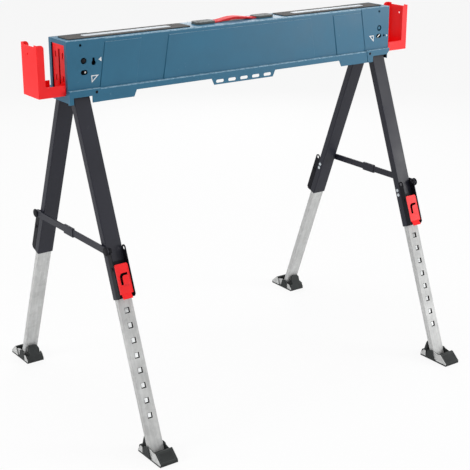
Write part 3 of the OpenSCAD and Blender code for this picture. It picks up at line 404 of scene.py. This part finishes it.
# bends of the folded sheet: the top corners, the ledge over the skirt and the edges of the raised panels
bendSettings = {
    "beam_shell": {"wall": 0.0388, "skirt": 0.0456, "panel": 0.0402, "top": 0.0024, "ledge": 0.0022, "rim": 0.0012},
    "end_sleeve": {"wall": 0.0400, "skirt": 0.0468, "panel": -1.0, "top": 0.0010, "ledge": 0.0010, "rim": 0.0},
    "ledgeHeight": 0.761, "steps": 4, "angle": 20, "endFacing": 0.9, "endCorners": 4, "straight": 0.99,
    "room": 0.0003, "panelRoom": 0.0001, "ledgeRoom": 0.0016,
}


def foldBends(mesh, kind, top):
    sizes, room = bendSettings[kind], bendSettings["room"]
    facing, corners = bendSettings["endFacing"], bendSettings["endCorners"]
    ends = [f for f in mesh.faces if abs(f.normal.x) > facing and len(f.verts) > corners]
    bmesh.ops.connect_verts_concave(mesh, faces=ends)
    found = {"rim": [], "top": [], "ledge": []}
    for edge in sharpEdges(mesh, bendSettings["angle"]):
        middle = middleOf(edge)
        out = abs(middle.y)
        lengthwise = abs(wayOf(edge).normalized().x) > bendSettings["straight"]
        onLedge = near(middle.z, bendSettings["ledgeHeight"], bendSettings["ledgeRoom"])
        if near(out, sizes["panel"], bendSettings["panelRoom"]):
            found["rim"].append(edge)
        elif lengthwise and near(out, sizes["wall"], room) and middle.z > top - room:
            found["top"].append(edge)
        elif lengthwise and near(out, sizes["skirt"], room) and onLedge:
            found["ledge"].append(edge)
    for key, edges in found.items():
        roundEdges(mesh, [e for e in edges if e.is_valid], sizes[key], bendSettings["steps"])


# the top corner, the ledge and the panel rims get a painted highlight: their faces are marked like edges, so they
# take the pale edge colour
glintSettings = {
    "cornerRoom": 0.0002, "wallRoom": 0.0003, "ledgeRoom": 0.0026, "ledgeTilt": 0.1,
    "rimFrom": 0.0001, "rimTo": 0.00003, "rimTilt": 0.3, "bendHighlight": 1.0, "rimHighlight": 0.7,
}


def markBends(mesh, kind, top):
    sizes, room = bendSettings[kind], glintSettings["cornerRoom"]
    mesh.normal_update()
    bends, rims = [], []
    for face in mesh.faces:
        middle = face.calc_center_median()
        out, tilt = abs(middle.y), face.normal.z
        onTop = out > sizes["wall"] - sizes["top"] - room and middle.z > top - sizes["top"] - room
        onLedge = near(middle.z, bendSettings["ledgeHeight"], glintSettings["ledgeRoom"])
        onLedge = onLedge and out > sizes["wall"] - glintSettings["wallRoom"] and tilt > glintSettings["ledgeTilt"]
        onRim = sizes["wall"] + glintSettings["rimFrom"] < out < sizes["panel"] - glintSettings["rimTo"]
        if onTop or onLedge:
            bends.append(face)
        elif onRim and tilt > glintSettings["rimTilt"]:
            rims.append(face)
    markEdges(mesh, bends, glintSettings["bendHighlight"])
    markEdges(mesh, rims, glintSettings["rimHighlight"])


# the rim round the lever's face stands proud and is marked with the pale edge colour as a painted highlight, and the
# walls of the slot round its thumb pad are painted near black as shade
leverSettings = {
    "rim": 0.0018, "sink": 0.0005, "slotHalf": 0.0125, "slotTop": 0.0105, "slotLow": 0.0385,
    "facing": 0.99, "wallFacing": 0.5, "digits": 4, "rubAndHighlight": 0.7, "shadeIndex": 1,
}


def shapeLever(mesh, leg):
    out, up = legOut(leg), legUp(leg)
    pivot = Vector(jointOf[leg + "_lever_pull"]["pos_m"])
    depth = {}
    for face in mesh.faces:
        if face.normal.dot(out) > leverSettings["facing"]:
            level = (face.calc_center_median() - pivot).dot(out)
            depth.setdefault(round(level, leverSettings["digits"]), []).append(face)
    plate = depth[max(depth, key=lambda level: sum(f.calc_area() for f in depth[level]))]
    rim = bmesh.ops.inset_region(mesh, faces=plate, thickness=leverSettings["rim"], use_even_offset=True)["faces"]
    bmesh.ops.translate(mesh, verts=list({v for f in plate for v in f.verts}), vec=-out * leverSettings["sink"])
    markEdges(mesh, rim, leverSettings["rubAndHighlight"])
    for face in mesh.faces:
        place = face.calc_center_median() - pivot
        inSlot = abs(place.x) < leverSettings["slotHalf"]
        inSlot = inSlot and leverSettings["slotTop"] < -place.dot(up) < leverSettings["slotLow"]
        if inSlot and abs(face.normal.dot(out)) < leverSettings["wallFacing"]:
            face.material_index = leverSettings["shadeIndex"]


# the sloping top of the toe block is a shallow tray with a raised rim, which is marked with the pale edge colour as a
# painted highlight
toeSettings = {"rim": 0.0026, "sink": 0.0009, "tilt": 0.2, "rubAndHighlight": 0.5}


def shapeToe(mesh, leg):
    side, tilt = legSide(leg), toeSettings["tilt"]
    slopes = [f for f in mesh.faces if f.normal.z > tilt and f.normal.y * side > tilt]
    slope = max(slopes, key=lambda f: f.calc_area())
    away = slope.normal.copy()
    rim = bmesh.ops.inset_region(mesh, faces=[slope], thickness=toeSettings["rim"], use_even_offset=True)["faces"]
    bmesh.ops.inset_region(mesh, faces=[slope], thickness=toeSettings["sink"], use_even_offset=True)
    bmesh.ops.translate(mesh, verts=slope.verts, vec=-away * toeSettings["sink"])
    markEdges(mesh, rim, toeSettings["rubAndHighlight"])


# the foot plate is dark inside, where the shoe's moulding lines it
footSettings = {"inward": -0.00001, "deckTilt": 0.8, "liningIndex": 1}


def lineFoot(mesh, middle):
    for face in mesh.faces:
        place = face.calc_center_median() - middle
        if face.normal.x * place.x < footSettings["inward"] or face.normal.z > footSettings["deckTilt"]:
            face.material_index = footSettings["liningIndex"]


# the middle of the strap is padded below, which leaves half of the finger gap
strapSettings = {"deck": 0.868, "keep": 0.5, "underTilt": -0.4, "clear": 0.0035}


def padStrap(mesh):
    deck = strapSettings["deck"]
    least = deck + strapSettings["clear"]
    under = {v for f in mesh.faces if f.normal.z < strapSettings["underTilt"] for v in f.verts if v.co.z > least}
    for vert in under:
        vert.co.z = deck + (vert.co.z - deck) * strapSettings["keep"]


# the long outer corners of the leg tubes are rolled
tubeSettings = {
    "corner": 0.0022, "steps": 3, "longest": 0.06, "angle": 60, "straight": 0.999, "sideRoom": 0.0004,
    "holeHalf": 0.0068, "faceFacing": 0.97, "endFacing": 0.5, "insideIndex": 1, "shadeIndex": 2,
}


def rollCorners(mesh, leg, low, high):
    up, middle, half = legUp(leg), (low.x + high.x) / 2, (high.x - low.x) / 2
    edges = []
    for edge in sharpEdges(mesh, tubeSettings["angle"]):
        way = wayOf(edge)
        straight = abs(way.normalized().dot(up)) > tubeSettings["straight"]
        outer = abs(middleOf(edge).x - middle) > half - tubeSettings["sideRoom"]
        if way.length > tubeSettings["longest"] and straight and outer:
            edges.append(edge)
    roundEdges(mesh, edges, tubeSettings["corner"], tubeSettings["steps"])


# the walls inside a lower tube are pale and glow faintly, a painted light, so that its height holes look light, and
# the cut sides of the holes are painted near black as shade
def paintInside(mesh, leg, middle):
    up, out = legUp(leg), legOut(leg)
    for face in mesh.faces:
        place = face.calc_center_median() - middle
        inHole = abs(place.x) < tubeSettings["holeHalf"] and place.dot(out) > 0
        inward = face.normal.dot(place - up * place.dot(up)) < 0
        if inHole and abs(face.normal.dot(out)) < tubeSettings["faceFacing"]:
            face.material_index = tubeSettings["shadeIndex"]
        elif inward and abs(face.normal.dot(up)) < tubeSettings["endFacing"]:
            face.material_index = tubeSettings["insideIndex"]


# each height hole has a collar turned into the tube, painted near black as the shade inside the hole, thicker along
# its lower edge
rimSettings = {
    "shortest": 0.009, "longest": 0.014, "straight": 0.99, "width": 0.0007, "low": 0.0011, "sink": 0.0002,
    "depth": 0.0042, "lap": 0.0001,
}
holePlaces = {}


# the middle and the half sizes of each hole, from its two level edges on the tube's outer face
def holesOf(mesh, leg, centre):
    up, out = legUp(leg), legOut(leg)
    face = max((v.co - centre).dot(out) for v in mesh.verts)
    found = []
    for edge in mesh.edges:
        way, place = wayOf(edge), middleOf(edge)
        level = abs(way.x) > rimSettings["straight"] * way.length
        level = level and rimSettings["shortest"] < way.length < rimSettings["longest"]
        if level and (place - centre).dot(out) > face - rimSettings["sink"]:
            found.append((place.dot(up), place, way.length))
    found.sort(key=lambda item: item[0])
    holes = []
    for (belowRise, below, wide), (aboveRise, above, _) in zip(found, found[1:]):
        if aboveRise - belowRise < rimSettings["longest"]:
            holes.append(((below + above) / 2, wide / 2, (aboveRise - belowRise) / 2))
    return holes


def holeRims(leg, body, slotName):
    up, out = legUp(leg), legOut(leg)
    side = Vector((1, 0, 0))
    mesh = bmesh.new()
    lap, width = rimSettings["lap"], rimSettings["width"]
    for middle, halfWide, halfTall in holePlaces[leg]:
        rings = []
        for grow, sink in ((lap, 0), (-width, 0), (-width, 1), (lap, 1)):
            base = middle - out * (rimSettings["sink"] + sink * rimSettings["depth"])
            wide, top = halfWide + grow, halfTall + grow
            foot = -top if grow > 0 else rimSettings["low"] - top
            corners = ((-wide, foot), (wide, foot), (wide, top), (-wide, top))
            rings.append([mesh.verts.new(base + side * across + up * rise) for across, rise in corners])
        for first, second in zip(rings, rings[1:] + rings[:1]):
            for here in range(len(first)):
                after = (here + 1) % len(first)
                mesh.faces.new((first[here], first[after], second[after], second[here]))
    bmesh.ops.recalc_face_normals(mesh, faces=mesh.faces)
    closePiece(mesh, leg + "_hole_rims", body, slotName, material=slotShade)


# further materials of a kind of piece, in the order of its material indices, and looks that differ from the slot
othersOf = {
    "lock_lever": (slotShade,), "lower_tube": (tubeInsideSelfLit, slotShade), "foot_plate": (finishes["shoe_rubber"],),
}
lookOf = {"brace_bar": "slate_paint", "brace_collar": "slate_paint"}

for nodeName in sorted(nodes):
    mesh = openCopy(nodeName)
    kind = kindOf(nodeName)
    leg = legOf(nodeName)
    low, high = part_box(nodeName)
    middle = (low + high) / 2
    folded = kind in bendSettings
    if kind == "lower_tube":
        holePlaces[leg] = holesOf(mesh, leg, middle)
    if folded:
        foldBends(mesh, kind, high.z)
    if kind in ("upper_tube", "lower_tube"):
        rollCorners(mesh, leg, low, high)
    if kind == "lock_lever":
        shapeLever(mesh, leg)
    if kind == "foot_shoe":
        shapeToe(mesh, leg)
    if kind == "carry_strap":
        padStrap(mesh)
    sharp = sharpEdges(mesh, pieceSettings["sharpAngle"])
    edgeRubAndHighlight = roundEdges(mesh, sharp, breakWidth[kind], pieceSettings["breakSteps"])
    if kind == "lower_tube":
        paintInside(mesh, leg, middle)
    if kind == "foot_plate":
        lineFoot(mesh, middle)
    # the broken edges take the edge colour, as rubbed edges and a painted highlight
    if kind != "beam_fasteners":
        markEdges(mesh, edgeRubAndHighlight, pieceSettings["foldedRubAndHighlight" if folded else "plainRubAndHighlight"])
    if folded:
        markBends(mesh, kind, high.z)
    slotName = slotOf[nodeName]
    look = finishes[lookOf.get(kind, slotName)]
    closePiece(mesh, nodeName + "_skin", bodyOf[nodeName], slotName, [nodeName], look, othersOf.get(kind, ()))
print("pieces softened:", len(nodes))

for leg in sorted(holePlaces):
    holeRims(leg, bodyOf[leg + "_lower_tube"], slotOf[leg + "_lower_tube"])
print("height holes rimmed:", sum(len(places) for places in holePlaces.values()))


# white painted triangles on the end sleeves; the back ones are the front ones turned half round

markSettings = {
    "face": 0.0401, "lift": 0.0001, "line": 0.0021,
    "solid": [
        ((-0.3835, 0.823), (-0.3765, 0.828), (-0.3765, 0.818)),
        ((0.4575, 0.794), (0.4525, 0.797), (0.4525, 0.791)),
    ],
    "outline": [
        ((-0.403, 0.790), (-0.384, 0.790), (-0.402, 0.774)),
        ((0.394, 0.798), (0.410, 0.798), (0.410, 0.782)),
    ],
}


def paintedMark(name, corners, line, turn):
    mesh = bmesh.new()
    depth = -markSettings["face"] - markSettings["lift"]
    face = mesh.faces.new([mesh.verts.new((x, depth, z)) for x, z in corners])
    if line:
        face.normal_update()
        bmesh.ops.inset_region(mesh, faces=[face], thickness=line, use_even_offset=True, use_boundary=True)
        bmesh.ops.delete(mesh, geom=[face], context="FACES")
    bmesh.ops.recalc_face_normals(mesh, faces=mesh.faces)
    mesh.normal_update()
    bmesh.ops.reverse_faces(mesh, faces=[f for f in mesh.faces if f.normal.y > 0])
    bmesh.ops.rotate(mesh, verts=mesh.verts, cent=(0, 0, 0), matrix=Matrix.Rotation(turn, 3, "Z"))
    closePiece(mesh, name, "beam", "blue_paint", material=markMaterial)


for side, turn in (("front", 0.0), ("back", math.pi)):
    for kindName, line in (("solid", 0.0), ("outline", markSettings["line"])):
        for number, corners in enumerate(markSettings[kindName]):
            paintedMark(f"{side}_{kindName}_arrow_{number}", corners, line, turn)
print("arrows painted")


# small fixings with crowned heads: in the ports of the sleeves, on the legs' inner sides and on the brace pivots

headSettings = {"inset": 0.45, "angle": 50, "breakShare": 0.08, "steps": 2, "rubAndHighlight": 0.6}


def fixing(name, body, slotName, place, away, sides, size, tilt, length, crown):
    mesh = bmesh.new()
    bmesh.ops.create_cone(mesh, cap_ends=True, segments=sides, radius1=1, radius2=1, depth=length)
    cap = max(mesh.faces, key=lambda f: f.calc_center_median().z)
    bmesh.ops.inset_region(mesh, faces=[cap], thickness=headSettings["inset"], depth=0)
    bmesh.ops.translate(mesh, verts=cap.verts, vec=(0, 0, crown))
    bmesh.ops.scale(mesh, verts=mesh.verts, vec=(size[0], size[1], 1))
    turn = away.to_track_quat("Z", "Y").to_matrix() @ Matrix.Rotation(math.radians(tilt), 3, "Z")
    bmesh.ops.rotate(mesh, verts=mesh.verts, cent=(0, 0, 0), matrix=turn)
    bmesh.ops.translate(mesh, verts=mesh.verts, vec=place - away * length / 2)
    sharp = sharpEdges(mesh, headSettings["angle"])
    edgeRubAndHighlight = roundEdges(mesh, sharp, min(size) * headSettings["breakShare"], headSettings["steps"])
    # the broken edges of the head take the edge colour, as rubbed edges and a painted highlight
    markEdges(mesh, edgeRubAndHighlight, headSettings["rubAndHighlight"])
    bmesh.ops.recalc_face_normals(mesh, faces=mesh.faces)
    closePiece(mesh, name, body, slotName)


portSettings = {
    "depth": 0.0392, "length": 0.004, "crown": 0.0006,
    "port_bolt": {"place": (0.428, 0.815), "sides": 28, "size": (0.0042, 0.0042), "tilt": 0, "slot": "blue_paint"},
    "port_clip": {"place": (0.427, 0.795), "sides": 12, "size": (0.0066, 0.0014), "tilt": 40, "slot": "zinc_steel"},
    "port_pin": {"place": (-0.4165, 0.798), "sides": 28, "size": (0.0024, 0.0024), "tilt": 0, "slot": "zinc_steel"},
    "port_nut": {"place": (-0.4194, 0.823), "sides": 6, "size": (0.0052, 0.0052), "tilt": 12, "slot": "black_steel"},
}
for side, hand in (("front", 1), ("back", -1)):
    for portName, settings in portSettings.items():
        if isinstance(settings, dict):
            across, height = settings["place"]
            place = Vector((across * hand, -portSettings["depth"] * hand, height))
            fixing(f"{side}_{portName}", "beam", settings["slot"], place, Vector((0, -hand, 0)), settings["sides"],
                   settings["size"], settings["tilt"], portSettings["length"], portSettings["crown"])

rivetSettings = {"heights": (0.4165, 0.4055), "radius": 0.0042, "length": 0.0016, "crown": 0.0006, "sides": 24,
                 "stand": 0.6}
boltSettings = {"radius": 0.0098, "length": 0.003, "crown": 0.0012, "sides": 32, "stand": 0.9}


def roundFixing(name, body, slotName, place, away, settings):
    size = (settings["radius"], settings["radius"])
    fixing(name, body, slotName, place, away, settings["sides"], size, 0, settings["length"], settings["crown"])


for leg in legNames:
    up, foot = legUp(leg), Vector(jointOf[leg + "_foot_tilt"]["pos_m"])
    onRight = foot.x > 0
    inner = Vector((-1 if onRight else 1, 0, 0))
    low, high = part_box(leg + "_upper_tube")
    for number, height in enumerate(rivetSettings["heights"]):
        place = foot + up * (height - foot.z) / up.z
        place.x = (low.x if onRight else high.x) + inner.x * rivetSettings["length"] * rivetSettings["stand"]
        body = bodyOf[leg + "_upper_tube"]
        roundFixing(f"{leg}_side_rivet_{number}", body, "strip_plastic", place, inner, rivetSettings)
    low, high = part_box(leg + "_brace_bar")
    place = Vector(jointOf[leg + "_brace_turn"]["pos_m"])
    place.x = (high.x if onRight else low.x) - inner.x * boltSettings["length"] * boltSettings["stand"]
    roundFixing(f"{leg}_brace_bolt", bodyOf[leg + "_brace_bar"], "black_steel", place, -inner, boltSettings)
print("fixings made")


# stage, light and camera

stageSettings = {
    "floorSize": 14.0, "floorColour": (0.93, 0.93, 0.93, 1), "floorRough": 0.9, "floorDrop": 0.0003,
    "floorWhite": 0.86, "white": (1, 1, 1, 1), "whiteLight": 1.0, "worldLight": 0.45,
}
floorMesh = bmesh.new()
bmesh.ops.create_grid(floorMesh, x_segments=1, y_segments=1, size=stageSettings["floorSize"])
bmesh.ops.translate(floorMesh, verts=floorMesh.verts, vec=(0, 0, -stageSettings["floorDrop"]))
floorData = bpy.data.meshes.new("floor")
floorMesh.to_mesh(floorData)
floorMesh.free()
floor = bpy.data.objects.new("floor", floorData)
scene.collection.objects.link(floor)


def backgroundRays(tree):
    rays = addNode(tree, "ShaderNodeLightPath")
    seen = calc(tree, "MAXIMUM", rays.outputs["Is Camera Ray"], rays.outputs["Is Glossy Ray"])
    return calc(tree, "MAXIMUM", seen, rays.outputs["Is Transmission Ray"])


def mixShaders(tree, factor, first, second, output):
    both = addNode(tree, "ShaderNodeMixShader")
    for place, source in enumerate((factor, first.outputs[0], second.outputs[0])):
        tree.links.new(source, both.inputs[place])
    tree.links.new(both.outputs[0], tree.nodes[output].inputs["Surface"])


whiteLook = {"Color": stageSettings["white"], "Strength": stageSettings["whiteLight"]}

floorPaint = bpy.data.materials.new("floorPaint")
floorPaint.use_nodes = True
floorData.materials.append(floorPaint)
tree = floorPaint.node_tree
matt = tree.nodes["Principled BSDF"]
matt.inputs["Base Color"].default_value = stageSettings["floorColour"]
matt.inputs["Roughness"].default_value = stageSettings["floorRough"]
white = addNode(tree, "ShaderNodeEmission", whiteLook)
share = calc(tree, "MULTIPLY", backgroundRays(tree), stageSettings["floorWhite"])
mixShaders(tree, share, matt, white, "Material Output")

world = bpy.data.worlds.new("studio")
scene.world = world
world.use_nodes = True
tree = world.node_tree
glow = tree.nodes["Background"]
glow.inputs["Color"].default_value = stageSettings["white"]
glow.inputs["Strength"].default_value = stageSettings["worldLight"]
shown = addNode(tree, "ShaderNodeBackground", whiteLook)
mixShaders(tree, backgroundRays(tree), glow, shown, "World Output")

lightSettings = {
    "rightLight": {"place": (2.4, -2.2, 1.0), "target": (0, 0, 0.6), "size": 1.4, "power": 42},
    "leftLight": {"place": (-2.8, 0.2, 1.3), "target": (-0.3, 0, 0.6), "size": 1.2, "power": 26},
    "topLight": {"place": (0.0, 0.2, 3.4), "target": (0, 0, 0.6), "size": 2.0, "power": 34},
    "backLight": {"place": (1.76, 2.46, 1.36), "target": (0, 0, 0.8), "size": 1.4, "power": 15},
}


def areaLight(name, place, target, size, power):
    data = bpy.data.lights.new(name, "AREA")
    data.shape = "DISK"
    data.size = size
    data.energy = power
    light = bpy.data.objects.new(name, data)
    light.location = place
    light.rotation_euler = (Vector(target) - Vector(place)).to_track_quat("-Z", "Y").to_euler()
    scene.collection.objects.link(light)


for lightName, settings in lightSettings.items():
    areaLight(lightName, **settings)

cameraSettings = {"place": (-1.5945, -2.2317, 1.2841), "yaw": 35.653, "pitch": 19.096, "lens": 89.11, "sensor": 36.0}
cameraData = bpy.data.cameras.new("photoCamera")
cameraData.sensor_width = cameraSettings["sensor"]
cameraData.lens = cameraSettings["lens"]
camera = bpy.data.objects.new("photoCamera", cameraData)
camera.location = cameraSettings["place"]
camera.rotation_euler = (math.radians(90 - cameraSettings["pitch"]), 0, math.radians(-cameraSettings["yaw"]))
scene.collection.objects.link(camera)
scene.camera = camera
scene.view_settings.view_transform = "Standard"
print("stage, light and camera set")
